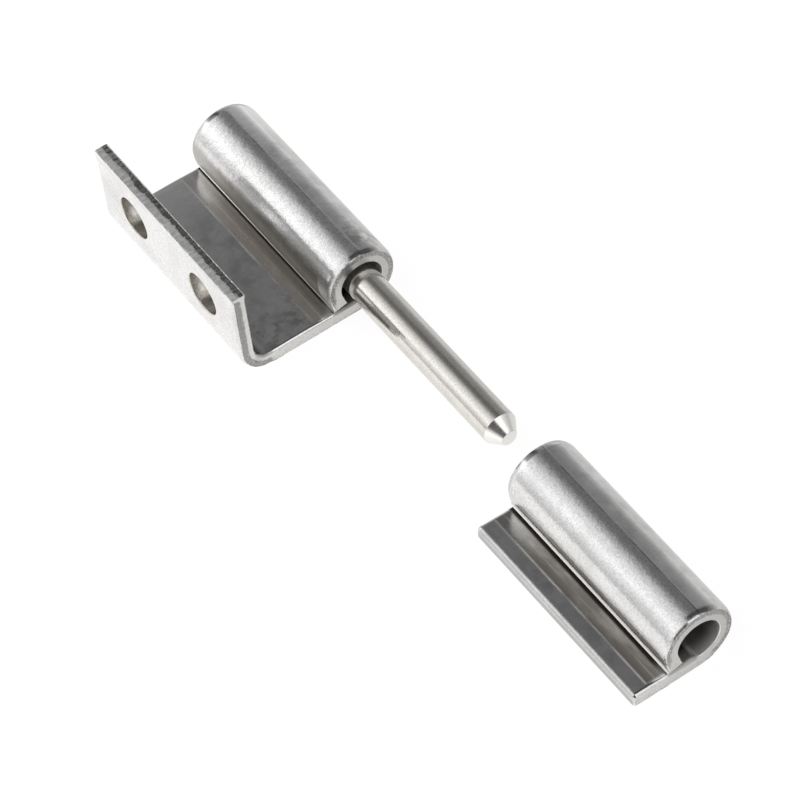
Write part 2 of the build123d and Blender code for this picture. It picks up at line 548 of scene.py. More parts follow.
# %% Punch the two holes
rim_r = 0.28
past_sheet = 1.0
edge_inside, edge_outside, edge_flare = 0.08, 0.1, 0.18
hole_x = [bracket_middle + side * hole_spacing / 2 for side in (-1, 1)]
flared_r = hole_r + edge_flare
rim = arc(Vector((rim_r, hole_r + rim_r)), rim_r, 192, 270, 11)
punch_profile = [(-past_sheet, 0), (-past_sheet, rim[0].y)]
punch_profile += [(p.x, p.y) for p in rim]
punch_profile += [(sheet - edge_inside, hole_r), (sheet + edge_outside, flared_r)]
punch_profile += [(sheet + past_sheet, flared_r), (sheet + past_sheet, 0)]
for x in hole_x:
    punch = turned("punch", punch_profile, 96)
    spot = Vector((x, bracket_low.y, hole_height)) * MM
    punch.data.transform(Matrix.Translation(spot) @ Matrix.Rotation(math.pi / 2, 4, "Z"))
    cut = bracket.modifiers.new("punch", "BOOLEAN")
    cut.operation = "DIFFERENCE"
    cut.solver = "EXACT"
    cut.object = punch
    punched = plain_mesh(bracket)
    bpy.data.objects.remove(punch)
    print("after a punch the bracket has", len(punched.polygons), "faces")

# %% Set the marks on the holes' walls
WALL_MARKS = {"grain": 0.4, "fracture": 0.0, "cut": 0.0}
wall_reach = hole_r + 0.5
walls = 0
for vertex in bracket.data.vertices:
    spot = vertex.co / MM
    reach = min(math.hypot(spot.x - x, spot.z - hole_height) for x in hole_x)
    if reach < wall_reach and spot.y < bracket_low.y + 2 * sheet:
        for label, value in WALL_MARKS.items():
            bracket.data.attributes[label].data[vertex.index].value = value
        walls += 1
print("points on the walls:", walls)

# %% [markdown]
# ## The torn edge
# Shears cut the outer part of a sheet cleanly and tear the rest. On the flange's top the outer strip
# is rubbed grey, and the inner strip is a dark, striped break with a ragged border and a thin lip left
# standing at its inner edge. Small chips are missing from the outer rim. It repeats along the whole
# edge, so a tree lowers the points of the top face by noise that is stretched across the sheet, and
# leaves the strips as attributes for the material.

# %% The torn edge's tree
TEAR_SIZES = {
    "Outer Y": bracket_low.y * MM,
    "Sheet": sheet * MM,
    "Top Z": bracket_high.z * MM,
    "Depth": 0.00026,
    "Chip": 0.00016,
    "Border": 0.54,
    "Ragged": 0.2,
    "Seed": 3.0,
}
TOP_REACH = 2e-5
RIM_REACH = 2e-4
RIM_SHARE = 0.1
LIP_SHARE = 0.955
torn, given = new_tree("torn_edge", "Leaf", TEAR_SIZES, "Leaf")
place = add_node(torn, "GeometryNodeInputPosition").outputs[0]
_, place_y, place_z = parts_of(place)
across = math_node("DIVIDE", minus(place_y, given["Outer Y"]), given["Sheet"])
below_top = minus(given["Top Z"], place_z)
on_top = math_node("LESS_THAN", below_top, TOP_REACH)


def stretched_noise(x_per_mm, y_per_mm, seed, detail):
    """Noise along and across the edge, with its own grain in each direction."""
    factors = {0: place, 1: (x_per_mm / MM, y_per_mm / MM, 0)}
    scaled = add_node(torn, "ShaderNodeVectorMath", factors, operation="MULTIPLY")
    return noise_value(scaled.outputs[0], 1.0, detail, seed=seed)


def steps_up(value, low, high):
    """Nothing below one value, all above another, and straight between."""
    share = math_node("DIVIDE", minus(value, low), high - low)
    return math_node("MINIMUM", math_node("MAXIMUM", share, 0.0), 1.0)


# %% Where the edge is broken, and how deep
seed = given["Seed"]
slow = minus(stretched_noise(0.2, 0, seed, 1.0), 0.5)
quick = minus(stretched_noise(1.7, 0, plus(seed, 2.0), 3.0), 0.5)
wander = plus(slow, times(quick, 0.7))
border = math_node("MULTIPLY_ADD", wander, times(given["Ragged"], 3), given["Border"])
inside = steps_up(minus(across, border), 0.0, 0.07)
broken = times(inside, math_node("LESS_THAN", across, LIP_SHARE), on_top)
stripes = stretched_noise(2.6, 0.35, seed, 4.0)
depth = times(given["Depth"], math_node("MULTIPLY_ADD", stripes, 1.6, -0.3))
chips = steps_up(stretched_noise(0.55, 0, plus(seed, 7.0), 3.0), 0.55, 0.62)
at_rim = times(math_node("LESS_THAN", across, RIM_SHARE), math_node("LESS_THAN", below_top, RIM_REACH))
chipped = times(chips, at_rim, given["Chip"])
inwards, down = times(chipped, 0.4), times(plus(times(broken, depth), chipped), -1)
offset = add_node(torn, "ShaderNodeCombineXYZ", {"Y": inwards, "Z": down}).outputs[0]

# %% Store the strips and lower the points
stores = []
for label, mask in (("broken", broken), ("sheared", on_top)):
    strip = {"Name": label, "Value": mask}
    store = "GeometryNodeStoreNamedAttribute"
    stores.append(add_node(torn, store, strip, data_type="FLOAT", domain="POINT"))
fill(stores[0].inputs["Geometry"], given["Leaf"])
end_tree(torn, given, *stores, add_node(torn, "GeometryNodeSetPosition", {"Offset": offset}))

# %% [markdown]
# ## The pin
# The pin is turned from bar: a shank with a coned tip, on a thicker root that sits out of sight in
# the bracket's knuckle. The cone and its small flat keep the fine rings of the turning tool, so the
# profile runs over them in steps smaller than one ring.

# %% The pin's profile
root_r = (pin_high.z - pin_low.z) / 2
shank_r = 3.0
tip_r = 1.4
tip_length = 2.5
root_chamfer = 0.5
shoulder_x = bracket_high.x - 6.0
cone_x = pin_high.x - tip_length
ring_pitch = 0.26
ring_depth = 0.007


def ringed(start, end, step=0.035):
    """Points from start to end, with shallow tool rings across the line."""
    along = end - start
    aside = Vector((-along.y, along.x)).normalized()
    count = round(along.length / step)
    points = []
    for i in range(1, count):
        depth = ring_depth * (math.cos(math.tau * along.length * i / count / ring_pitch) - 1) / 2
        points.append(start.lerp(end, i / count) + aside * depth)
    return points


shank_end = Vector((cone_x, shank_r))
cone_end = Vector((pin_high.x, tip_r))
shoulder = rounded_corner(Vector((shoulder_x, shank_r)), shank_end, cone_end, 0.05)
nose = rounded_corner(shank_end, cone_end, Vector((pin_high.x, 0)), 0.08)
root_low, root_high = pin_low.x + root_chamfer, shoulder_x - root_chamfer
root = [(pin_low.x, 0), (pin_low.x, root_r - root_chamfer), (root_low, root_r), (root_high, root_r)]
root += [(shoulder_x, root_r - root_chamfer), (shoulder_x, shank_r)]
pin_profile = [Vector(p) for p in root]
pin_profile += run(Vector((shoulder_x, shank_r)), shoulder[0], 1.5) + shoulder
pin_profile += ringed(shoulder[-1], nose[0]) + nose
pin_profile += ringed(nose[-1], Vector((pin_high.x, 0.02))) + [Vector((pin_high.x, 0))]
print("pin profile:", len(pin_profile), "points")

# %% [markdown]
# ## Finishes: what the groups share
# All three pieces are stainless steel, so they share the same effects at different strengths: a fine
# tumbled grain that makes highlights sparkle, slow waves that bend the reflections as rolled sheet
# does, smudges from handling, and a few thin scratches. Each effect is a node group that reads
# object coordinates and puts out only values.


# %% A group's frame, its coordinates and its steps
def new_group(name, inputs, outputs):
    """An empty shader group with float inputs and outputs, and the sockets of its two ends."""
    group = bpy.data.node_groups.new(name, "ShaderNodeTree")
    for label, value in inputs.items():
        socket = group.interface.new_socket(label, in_out="INPUT", socket_type="NodeSocketFloat")
        socket.default_value = value
    for label in outputs:
        group.interface.new_socket(label, in_out="OUTPUT", socket_type="NodeSocketFloat")
    print("group", name, "gives", ", ".join(outputs))
    return group, add_node(group, "NodeGroupInput").outputs, add_node(group, "NodeGroupOutput").inputs


def in_mm(tree, turn=(0, 0, 0), scale=(1, 1, 1)):
    """Object coordinates in millimetres, turned and stretched by a Mapping node."""
    place = add_node(tree, "ShaderNodeTexCoord").outputs["Object"]
    turned_by, scaled_by = [math.radians(a) for a in turn], [s / MM for s in scale]
    values = {"Vector": place, "Rotation": turned_by, "Scale": scaled_by}
    return add_node(tree, "ShaderNodeMapping", values, vector_type="POINT").outputs[0]


def ramp(value, low, high, to_low=0.0, to_high=1.0):
    """A smooth step from one value to another."""
    ends = {"Value": value, "From Min": low, "From Max": high, "To Min": to_low, "To Max": to_high}
    node = add_node(value.id_data, "ShaderNodeMapRange", ends, interpolation_type="SMOOTHSTEP")
    return node.outputs[0]


def fade(value, low, high):
    """A smooth step from one down to nothing."""
    return ramp(value, low, high, 1.0, 0.0)


def between(value, low, high, soft):
    """One between two values, with soft borders."""
    return times(ramp(value, low - soft, low + soft), fade(value, high - soft, high + soft))


# %% Tumbled grain
grain_group, given, done = new_group("tumbled_grain", {"Grains per mm": 3.0}, ("Grain", "Speckle"))
spot = in_mm(grain_group)
fill(done["Grain"], noise_value(spot, given["Grains per mm"], 2.0, 0.6))
fill(done["Speckle"], ramp(noise_value(spot, 4.5, 1.0, 0.5, 9.0), 0.4, 0.66))

# %% Slow waves and smudges
wave_group, given, done = new_group("rolled_waves", {"Waves per mm": 0.16}, ("Height",))
drawn_out = in_mm(wave_group, scale=(0.5, 1, 1))
fill(done["Height"], noise_value(drawn_out, given["Waves per mm"], 1.0, 0.4, 2.0))
smudge_group, given, done = new_group("handling_smudges", {"Smudges per mm": 0.12}, ("Smudge",))
smudge = noise_value(in_mm(smudge_group), given["Smudges per mm"], 5.0, 0.62, 7.0)
fill(done["Smudge"], ramp(smudge, 0.42, 0.68))

# %% Thin scratches
SCRATCHES = ((1.0, (20, 10, 35)), (5.0, (-30, 25, -50)), (8.0, (5, -15, 80)))
scratch_group, given, done = new_group("thin_scratches", {"Amount": 0.5}, ("Scratch",))
lines = []
for seed, turn in SCRATCHES:
    long_cells = {"Scale": 1.0, "Vector": in_mm(scratch_group, turn, (0.05, 0.9, 0.9))}
    cells = add_node(scratch_group, "ShaderNodeTexVoronoi", long_cells, feature="DISTANCE_TO_EDGE")
    where = noise_value(in_mm(scratch_group, turn), 0.22, 2.0, 0.5, seed)
    lines.append(times(fade(cells.outputs["Distance"], 0.0, 0.02), ramp(where, 0.6, 0.68)))
most = math_node("MAXIMUM", math_node("MAXIMUM", lines[0], lines[1]), lines[2])
fill(done["Scratch"], times(most, given["Amount"]))

# %% [markdown]
# ## Dirt and painted shade by the roll
# Stones and soap leave brown residue in the corner between plate and roll, painted darker there as
# painted shade and as the roll's dark reflection. Pale streaks along it are painted reflections, and
# the black in the gap under the cut edge is painted shadow over grime. On the bracket's roll the brown
# and its painted shade climb to a ragged border, above a lip with a painted highlight. The rolls' far
# ends are painted darker as painted dark reflections, with one dark patch each, and the floor just
# inside their near ends is darker and duller. All masks are read from object coordinates, so they
# stay with each leaf when it moves.


# %% Dirt, painted shade and painted reflections on the plate
FAR_ENDS = (bracket_low, door_low)
NEAR_ENDS = (bracket_high, door_high)
DIRT_AND_SHADE = ("Brown_and_shade", "Gap_shadow_and_grime", "Reflected_streak", "Roll", "Low", "Lip_highlight", "End", "Dark_reflection_patch", "Floor")
halfway = (bracket_high.x + door_low.x) / 2
DOOR_FROM = (halfway - 5, halfway + 5)


def at_ends(x, ends, first, last, soft):
    """One near an end of each leaf, between two distances from it."""
    return plus(*[between(x, end.x + first, end.x + last, soft) for end in ends])


dirt_and_shade_group, _, done = new_group("dirt_and_shade_by_the_roll", {}, DIRT_AND_SHADE)
x, y, z = parts_of(in_mm(dirt_and_shade_group))
drawn_out = in_mm(dirt_and_shade_group, scale=(0.3, 1, 1))
on_plate = between(z, sheet - 0.5, sheet + 0.08, 0.04)
off_ends = plus(*[between(x, far.x + 0.6, near.x - 0.9, 0.3) for far, near in zip(FAR_ENDS, NEAR_ENDS)])
near_end = at_ends(x, NEAR_ENDS, -2.5, 2, 1.5)
patchy = ramp(noise_value(drawn_out, 0.5, 3.0, 0.6, 3.0), 0.3, 0.6, 0.6, 1.0)
thin_far = math_node("MULTIPLY_ADD", at_ends(x, FAR_ENDS, -9, 7, 6), -0.6, 1.0)
# Brown residue by the roll, darkened as painted shade and as the roll's painted reflection in the corner.
fill(done["Brown_and_shade"], times(between(y, -0.95, 3.3, 0.15), on_plate, patchy, thin_far, off_ends))
# Painted shadow over grime in the gap under the cut edge, stopping short of the near ends.
black_y = plus(y, ramp(x, *DOOR_FROM, 0.0, 0.45))
fill(done["Gap_shadow_and_grime"], times(between(black_y, 2.45, 4.2, 0.25), on_plate, minus(1.0, near_end)))
fill(done["Floor"], times(between(y, 2.5, 8.0, 0.5), on_plate, near_end))
# Pale streaks along the roll: painted reflections of its highlight in the plate.
wide_streak = times(between(y, -1.1, -0.8, 0.22), 0.75)
thin_streak = times(between(y, 0.6, 0.8, 0.18), 0.35)
come_and_go = ramp(noise_value(drawn_out, 0.35, 2.0, 0.5, 14.0), 0.38, 0.58, 0.1, 1.0)
fill(done["Reflected_streak"], times(plus(wide_streak, thin_streak), come_and_go, off_ends, on_plate))

# %% Dirt, painted shade and a painted highlight on the rolls
lip_low, lip_high = 2.72, 3.15
roll_side = between(y, 1.0, 3.4, 0.1)
above_lip = ramp(z, lip_high, lip_high + 0.25)
ragged = noise_value(in_mm(dirt_and_shade_group, scale=(1, 0.2, 0.2)), 0.5, 4.0, 0.65, 4.0)
bare_near_end = ramp(x, bracket_high.x - 3.6, bracket_high.x - 1.8, 8.6, 1.0)
border = math_node("MULTIPLY_ADD", ragged, 1.8, bare_near_end)
thin_far = ramp(x, bracket_low.x, bracket_low.x + 12, 0.35, 1.0)
# Brown residue and painted shade on the roll's side above the lip, up to a ragged border.
fill(done["Roll"], times(ramp(minus(border, z), 0.0, 1.3), thin_far, roll_side, above_lip))
on_bracket = math_node("LESS_THAN", x, halfway)
fill(done["Low"], times(roll_side, fade(z, 8.2, 10.0), on_bracket, above_lip))
# A painted highlight on the lip strip along the gap.
fill(done["Lip_highlight"], times(between(z, lip_low, lip_high, 0.06), roll_side))
# The rolls' far ends are painted darker, with one darker patch each: painted dark reflections in their
# rounded ends.
for label, reach, first, last, low, high in (
    ("End", 0.8, 0.0, 20.0, 6.0, 7.0),
    ("Dark_reflection_patch", 1.1, 5.6, 7.8, 8.0, 8.5),
):
    on_roll = times(between(y, first, last, 0.35), ramp(z, low, high))
    fill(done[label], times(at_ends(x, FAR_ENDS, -1, reach, 0.2), on_roll))
print("dirt group:", len(dirt_and_shade_group.nodes), "nodes")

# %% [markdown]
# ## Places with a finish of their own, and painted light
# The walls of the punched holes are dull, each with one painted glint. The bore is painted pale as
# painted light, the bend below the flange is painted darker as painted shade, and the inner side of
# the flange is paler and duller. A thin painted dark line runs along each roll where its smooth side
# begins, at the sharp edge of its dark reflection. Each mask is worked out from the sizes of the part
# it belongs to.


# %% The walls of the holes and their painted glints
def length_of(first, second):
    """The long side over two legs."""
    return math_node("SQRT", math_node("MULTIPLY_ADD", second, second, times(first, first)))


wall_inputs = {"Middle X": bracket_middle, "Apart": hole_spacing, "Height": hole_height, "Radius": hole_r}
wall_group, given, done = new_group("hole_walls", wall_inputs, ("Wall", "Glint"))
x, y, z = parts_of(in_mm(wall_group))
from_middle = minus(x, given["Middle X"])
which = times(math_node("SIGN", from_middle), -0.5)
aside = math_node("MULTIPLY_ADD", which, given["Apart"], from_middle)
above = minus(z, given["Height"])
from_rim = minus(length_of(aside, above), given["Radius"])
on_wall = times(fade(from_rim, 0.03, 0.15), fade(y, -10.0, -9.0))
fill(done["Wall"], on_wall)
# A painted glint: one bright spot deep in each wall, on the side that faces the bright tent.
toward_glint = math_node("MULTIPLY_ADD", aside, -0.83, times(above, -0.56))
toward_glint = math_node("DIVIDE", toward_glint, given["Radius"])
spot = times(ramp(toward_glint, 0.96, 0.995), between(y, -13.6, -12.8, 0.4))
fill(done["Glint"], times(on_wall, spot))


# %% The bore and the painted dark line along the roll
def from_axis(tree, given):
    """How far a place lies beside and above the pin's axis."""
    _, y, z = parts_of(in_mm(tree))
    return minus(y, given["Axis Y"]), minus(z, given["Axis Z"])


axis_inputs = {"Axis Y": axis.x, "Axis Z": axis.y}
# The material paints the bore pale, as painted light coming in at its ends, and makes it rougher.
bore_group, given, done = new_group("bore_wall", {**axis_inputs, "Radius": bore_r}, ("Bore",))
from_wall = minus(length_of(*from_axis(bore_group, given)), given["Radius"])
fill(done["Bore"], fade(from_wall, 0.05, 0.2))
# A painted dark line along the sharp edge of the roll's dark reflection, where its smooth side begins.
line_group, given, done = new_group("roll_line", {**axis_inputs, "Angle": roll_mark + 1}, ("Line",))
aside, above = from_axis(line_group, given)
angle = math_node("DEGREES", math_node("ARCTAN2", above, aside))
off_line = math_node("ABSOLUTE", minus(angle, given["Angle"]))
faded = ramp(noise_value(in_mm(line_group), 0.25, 3.0, 0.6, 12.0), 0.4, 0.6, 0.2, 1.0)
on_outside = ramp(above, knuckle_r - 0.4, knuckle_r - 0.3)
fill(done["Line"], times(on_outside, fade(off_line, 0.3, 1.3), faded))

# %% The inner side of the flange and its bend
inner_group, given, done = new_group("inner_side", {"Top": bracket_high.z}, ("Inner", "Fold"))
_, y, z = parts_of(in_mm(inner_group))
inner_y = bracket_low.y + sheet
in_depth = between(y, inner_y - 0.3, inner_y + bend_r + 0.6, 0.2)
under_top = math_node("LESS_THAN", z, minus(given["Top"], 0.1))
fill(done["Inner"], times(in_depth, ramp(z, sheet + 1.2, sheet + bend_r), under_top))
# The bend below the flange, which the material paints darker as painted shade.
fill(done["Fold"], times(in_depth, between(z, sheet - 0.4, sheet + bend_r - 0.4, 0.3)))

# %% [markdown]
# ## Tumbled sheet steel
# The sheet is bare stainless steel: fully metallic and bright, its grain strong enough to break up the
# highlight on the knuckles but too fine to blur the dark reflection in the plate. Cut ends are duller,
# the strips where the metal broke are dark and rough, and the attributes left by the shapes say where.


# %% Mixing helpers for the steel
def place_group(tree, group, **values):
    """The outputs of a group node with its values set."""
    node = add_node(tree, "ShaderNodeGroup")
    node.node_tree = group
    for label, value in values.items():
        node.inputs[label.replace("_", " ")].default_value = value
    return node.outputs


def mixed_colour(factor, first, second):
    """A colour between two, by a factor socket."""
    first, second = [colour if is_socket(colour) else (*colour, 1) for colour in (first, second)]
    values = {"Factor": factor, "A": first, "B": second}
    return add_node(factor.id_data, "ShaderNodeMix", values, data_type="RGBA").outputs["Result"]


def bumped(height, depth_mm, under=None):
    """A Bump node whose depth is a real size, laid over another one."""
    values = {"Strength": 1.0, "Distance": depth_mm * MM, "Height": height, "Normal": under}
    return add_node(height.id_data, "ShaderNodeBump", values).outputs[0]


def new_steel(name):
    """A material with only its Principled BSDF, fully metallic, and that shader's inputs."""
    material = bpy.data.materials.new(name)
    material.use_nodes = True
    shader = material.node_tree.nodes["Principled BSDF"].inputs
    shader["Metallic"].default_value = 1.0
    return material, material.node_tree, shader


# %% The sheet's effects and marks
sheet_steel, tree, shader = new_steel("tumbled_steel")
x, y, _ = parts_of(in_mm(tree))
grain = place_group(tree, grain_group, Grains_per_mm=3.0)
waves = place_group(tree, wave_group)["Height"]
smudge = place_group(tree, smudge_group)["Smudge"]
stain = place_group(tree, smudge_group, Smudges_per_mm=0.3)["Smudge"]
scratch = place_group(tree, scratch_group, Amount=0.3)["Scratch"]
dirt_and_shade = place_group(tree, dirt_and_shade_group)
holes = place_group(tree, wall_group)
line = place_group(tree, line_group)["Line"]
bore = place_group(tree, bore_group)["Bore"]
flange_inside = place_group(tree, inner_group)
# Painted shade in the inner bend below the flange.
fold = times(flange_inside["Fold"], 0.8)
marks = {}
for name in ("grain", "cut", "fracture", "sheared", "broken"):
    marks[name] = add_node(tree, "ShaderNodeAttribute", attribute_name=name).outputs["Fac"]
print("the sheet reads", ", ".join(marks))

# %% Spots, breaks and stripes
off_cuts = minus(1.0, marks["cut"])
brown_and_shade, gap_shadow_and_grime, reflected_streak = [times(dirt_and_shade[label], off_cuts) for label in ("Brown_and_shade", "Gap_shadow_and_grime", "Reflected_streak")]
speckle = times(grain["Speckle"], marks["grain"], 0.6)
cut_spots = times(grain["Speckle"], marks["cut"], 0.55)
stain = times(stain, ramp(marks["grain"], 0.2, 0.6, 0.75, 0.1))
wall_spots = times(holes["Wall"], ramp(grain["Grain"], 0.42, 0.58))
uneven = math_node("MULTIPLY_ADD", minus(grain["Grain"], 0.5), 3.2, marks["fracture"])
fracture = times(ramp(uneven, 0.1, 1.0), ramp(marks["fracture"], 0.0, 0.3))
striped = noise_value(in_mm(tree, scale=(1, 0.25, 0.25)), 2.2, 4.0, 0.7, 5.0)
stripe = ramp(striped, 0.4, 0.62)
top_stripes = times(marks["sheared"], stripe)
break_stripes = times(marks["broken"], minus(1.0, stripe))
border = times(marks["broken"], minus(1.0, marks["broken"]))
fleck = times(ramp(border, 0.08, 0.2), ramp(grain["Grain"], 0.5, 0.6))
free_edge = ramp(marks["grain"], 1.02, 1.18, 0.0, 0.9)

# %% What differs from place to place
far_reach = (bracket_low.x, bracket_low.x + 16)
on_door = ramp(x, *DOOR_FROM)
on_smooth = fade(marks["grain"], 0.3, 0.5)
broken = times(marks["broken"], ramp(x, *far_reach, 0.5, 1.0))
# The smooth sides are painted paler towards the bracket's far end: a painted brighter reflection.
far_plate_reflection = times(ramp(x, *far_reach, 0.8, 0.0), on_smooth)
near_plate = between(x, bracket_high.x - 7, bracket_high.x + 2, 4)
near_spots = ramp(noise_value(in_mm(tree), 0.5, 4.0, 0.6, 16.0), 0.47, 0.6)
near_spots = times(near_spots, on_smooth, near_plate)
# Painted shade deep inside the door leaf's bore, away from its open end.
deep_bore_shade = times(bore, fade(x, door_high.x - 3, door_high.x - 0.2), on_door)
# On the door leaf, and on the bracket close to the gap, the brown and its painted shade are darker still.
brown_and_shade_door = times(brown_and_shade, on_door)
brown_and_shade_deep = times(minus(brown_and_shade, brown_and_shade_door), ramp(y, 0.4, 2.0))
print("masks so far:", len(tree.nodes), "nodes")

# %% The sheet's colour, with painted shade, highlights and reflections among it, and the roughness each mask adds
colour = mixed_colour(smudge, (0.735, 0.735, 0.735), (0.625, 0.622, 0.618))
SHEET = (
    (speckle, (0.48, 0.48, 0.48), 0),
    (stain, (0.47, 0.468, 0.465), 0),
    # a painted brighter reflection towards the far end
    (far_plate_reflection, (0.93, 0.928, 0.925), 0),
    # painted dark reflections at the rolls' far ends, with a darker patch
    (dirt_and_shade["End"], (0.54, 0.538, 0.535), 0),
    (dirt_and_shade["Dark_reflection_patch"], (0.2, 0.198, 0.195), 0),
    (near_spots, (0.44, 0.438, 0.435), 0),
    (free_edge, (0.38, 0.378, 0.375), 0.15),
    # a painted dark line at the edge of the roll's dark reflection
    (line, (0.28, 0.278, 0.275), 0),
    # brown residue with painted shade and the roll's painted reflection in the corner
    (brown_and_shade, (0.52, 0.492, 0.46), 0.26),
    (brown_and_shade_door, (0.23, 0.214, 0.196), 0),
    (brown_and_shade_deep, (0.38, 0.356, 0.328), 0),
    # painted reflections of the roll's highlight, as pale streaks
    (reflected_streak, (0.97, 0.95, 0.92), 0.3),
    # brown residue and painted shade on the roll above the lip
    (dirt_and_shade["Roll"], (0.30, 0.278, 0.252), 0.1),
    # painted shade in the inner bend
    (fold, (0.42, 0.417, 0.413), 0.3),
    (holes["Wall"], (0.40, 0.373, 0.328), 0.22),
    (wall_spots, (0.54, 0.507, 0.455), 0),
    # a painted glint on each hole's wall
    (holes["Glint"], (0.78, 0.755, 0.72), 0),
    # a painted highlight on the lip strip
    (dirt_and_shade["Lip_highlight"], (0.92, 0.90, 0.87), 0.3),
    # the bore painted pale as painted light coming in at its ends, and rougher
    (bore, (0.97, 0.96, 0.94), 0.4),
    # painted shade deep in the door leaf's bore
    (deep_bore_shade, (0.30, 0.296, 0.288), 0),
    (flange_inside["Inner"], (0.92, 0.915, 0.905), 0.28),
    # painted shadow over grime in the gap under the cut edge
    (gap_shadow_and_grime, (0.05, 0.042, 0.036), 0.4),
    (dirt_and_shade["Floor"], (0.5, 0.492, 0.478), 0.4),
    (marks["cut"], (0.62, 0.615, 0.605), 0.2),
    (cut_spots, (0.46, 0.455, 0.45), 0),
    (fracture, (0.33, 0.325, 0.32), 0.2),
    (marks["sheared"], (0.76, 0.755, 0.75), 0.5),
    (top_stripes, (0.56, 0.557, 0.553), 0),
    (broken, (0.28, 0.275, 0.27), 0),
    (break_stripes, (0.14, 0.136, 0.132), 0),
    (fleck, (0.9, 0.89, 0.88), 0),
)
for mask, paint, _ in SHEET:
    colour = mixed_colour(mask, colour, paint)
fill(shader["Base Color"], colour)

# %% The sheet's gloss and grain
rough = math_node("MULTIPLY_ADD", marks["grain"], 0.08, 0.07)
duller = [(smudge, 0.04), (scratch, 0.12), (dirt_and_shade["Low"], 0.2), (marks["broken"], 0.15)]
duller += [(mask, more) for mask, _, more in SHEET if more]
for mask, more in duller:
    rough = math_node("MULTIPLY_ADD", mask, more, rough)
fill(shader["Roughness"], rough)
mottle = noise_value(in_mm(tree), 0.8, 3.0, 0.6, 15.0)
normal = bumped(waves, 0.015)
normal = bumped(times(mottle, marks["grain"]), 0.05, normal)
normal = bumped(times(grain["Grain"], marks["grain"]), 0.016, normal)
fill(shader["Normal"], bumped(scratch, 0.006, normal))
print(sheet_steel.name, "has", len(tree.nodes), "nodes")

# %% [markdown]
# ## Turned pin steel
# The pin is the same metal, drawn and turned instead of rolled. It is a little warmer and smoother,
# with its grain drawn out along its length. The turned cone is paler and less glossy.

# %% The pin's material
pin_steel, tree, shader = new_steel("turned_steel")
x, _, _ = parts_of(in_mm(tree))
grain = place_group(tree, grain_group, Grains_per_mm=3.0)
smudge = place_group(tree, smudge_group, Smudges_per_mm=0.2)["Smudge"]
scratch = place_group(tree, scratch_group, Amount=0.3)["Scratch"]
cone = ramp(x, cone_x - 0.1, cone_x + 0.1)
colour = mixed_colour(smudge, (0.72, 0.70, 0.665), (0.65, 0.63, 0.595))
colour = mixed_colour(times(grain["Speckle"], 0.5), colour, (0.50, 0.485, 0.46))
fill(shader["Base Color"], mixed_colour(cone, colour, (0.89, 0.875, 0.85)))
rough = math_node("MULTIPLY_ADD", grain["Grain"], 0.06, 0.06)
for mask, more in ((cone, 0.1), (smudge, 0.05)):
    rough = math_node("MULTIPLY_ADD", mask, more, rough)
fill(shader["Roughness"], rough)
drawn = noise_value(in_mm(tree, scale=(0.12, 1, 1)), 3.0, 3.0, 0.6, 6.0)
normal = bumped(grain["Grain"], 0.008, bumped(drawn, 0.004))
fill(shader["Normal"], bumped(scratch, 0.004, normal))
print(pin_steel.name, "has", len(tree.nodes), "nodes")

# %% [markdown]
# ## Finishing the pieces
# The tear goes on now that the steel exists, because its tree also sets the material. Weighted normals
# then keep the flat faces flat beside their small rounded edges, and edges sharper than an angle stay
# sharp. Each piece ends as a plain mesh that takes the place of its solid.


# %% Tear the flange's top and finish the leaves
def weighted_normals(piece, sharp_degrees, weight):
    """Shades a piece smoothly by the size of its faces, with sharp edges kept."""
    piece.data.set_sharp_from_angle(angle=math.radians(sharp_degrees))
    shading = piece.modifiers.new("shading", "WEIGHTED_NORMAL")
    shading.keep_sharp = True
    shading.weight = weight
    plain_mesh(piece)
    print(piece.name, "finished with", len(piece.data.polygons), "faces")


tear = bracket.modifiers.new("tear", "NODES")
tear.node_group = torn
set_input(tear, "Material", sheet_steel)
plain_mesh(bracket)
door.data.materials.append(sheet_steel)
for leaf in (bracket, door):
    weighted_normals(leaf, 42, 80)

# %% Turn the pin
pin = turned("turned_pin", [tuple(p) for p in pin_profile], 128, pin_steel)
pin.data.transform(Matrix.Translation(Vector((0, axis.x, axis.y)) * MM))
weighted_normals(pin, 35, 50)

# %% Join the meshes to the moving bodies
for piece, node, body, slot in (
    (bracket, "bracket_leaf", "bracket", "sheet_steel"),
    (pin, "hinge_pin", "pin", "pin_steel"),
    (door, "door_leaf", "door", "sheet_steel"),
):
    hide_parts(node)
    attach(piece, body)
    print(piece.name, "stands for", node, "on", body)

# %% [markdown]
# ## Light
# Bare metal is all reflection, so the light is designed by what each face sees. In a plain white tent
# the faces turned up see the opening above, which is dark, and the faces turned to the flange side
# see the lit wall. One world does that: its brightness depends on the angle round the pin's axis, and
# on whether a ray leaves towards the bracket's end, straight up or towards the door leaf's end, where
# the tent's front hangs lower. Camera rays see plain white.

# %% Brightness of the tent by angle, at its rear, its middle and its front
REAR = (
    (0, 0.80), (10, 0.56), (24, 0.36), (40, 0.30), (56, 0.26), (59, 0.175), (76, 0.19),
    (84, 0.27), (95, 0.55), (110, 0.95), (138, 1.42), (152, 1.15), (166, 0.86), (180, 0.74),
)
MIDDLE = (
    (0, 0.80), (10, 0.50), (24, 0.25), (38, 0.09), (92, 0.07), (102, 0.60), (112, 1.00),
    (138, 1.35), (152, 1.20), (166, 0.90), (180, 0.75),
)
FRONT = (
    (0, 0.80), (40, 0.85), (57, 0.95), (60, 1.30), (100, 1.30), (104, 0.06), (160, 0.08),
    (170, 0.75), (180, 0.80),
)


def tent_wall(share, stops):
    """Brightness by angle as a colour ramp."""
    node = add_node(share.id_data, "ShaderNodeValToRGB", {0: share})
    while len(node.color_ramp.elements) < len(stops):
        node.color_ramp.elements.new(0.5)
    for stop, (degrees, light) in zip(node.color_ramp.elements, stops):
        stop.position = degrees / 180
        stop.color = (light, light, light, 1)
    return node.outputs["Color"]


